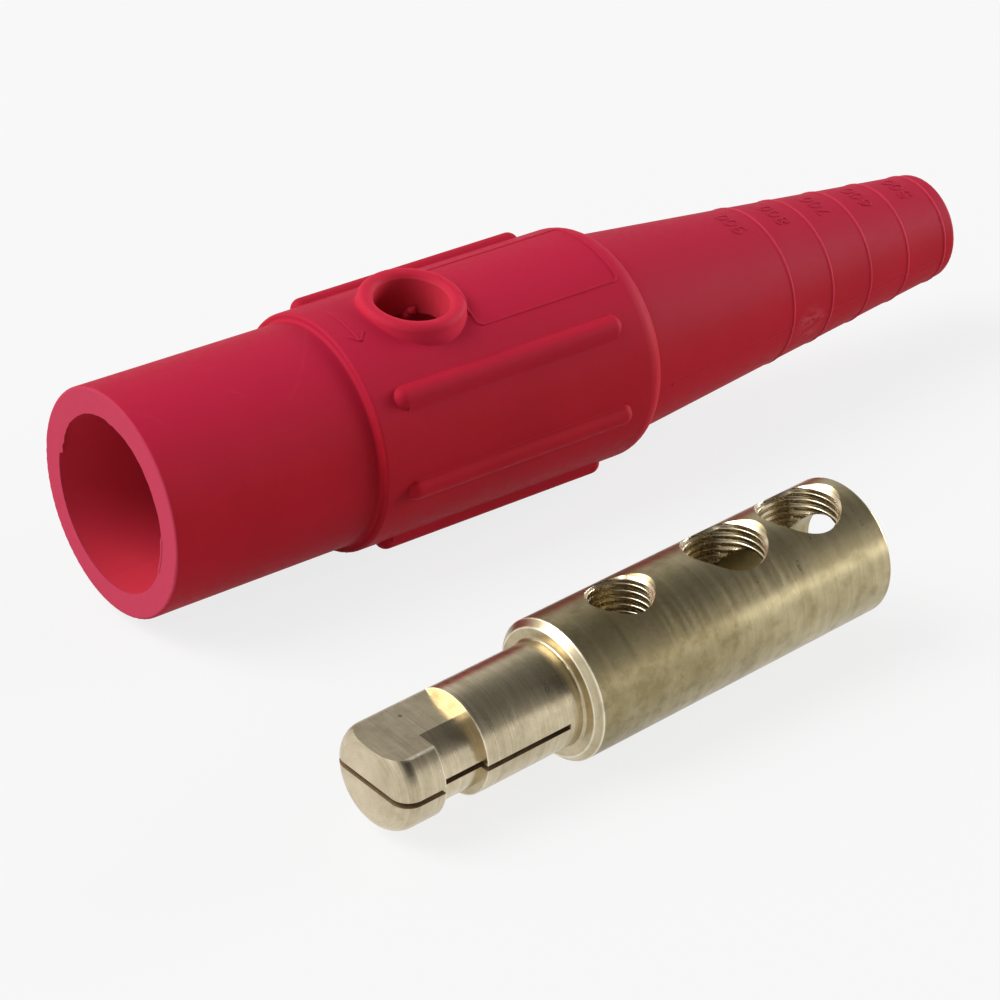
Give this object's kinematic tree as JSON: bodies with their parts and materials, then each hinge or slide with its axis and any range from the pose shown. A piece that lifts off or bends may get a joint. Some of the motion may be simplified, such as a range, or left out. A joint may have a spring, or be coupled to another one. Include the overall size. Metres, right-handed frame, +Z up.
{
  "type": "single pole cam lock connector",
  "caption": "Cam lock power connector taken apart: moulded sleeve with ribbed body and tapering tail, beside its turned male contact with slotted nose and screw holes.",
  "frame": {"origin": "middle of the box round both pieces, on the floor they lie on", "axes": "+X along the sleeve from mouth to tail, +Y from the contact towards the sleeve, +Z up"},
  "size_m": [0.1732, 0.102, 0.0425],
  "materials": {
    "insulating_sleeve": "satin moulded red",
    "male_contact": "satin turned"
  },
  "bodies": {
    "root": {"insulating_sleeve": "insulating_sleeve", "male_contact": "male_contact"}
  },
  "joints": []
}
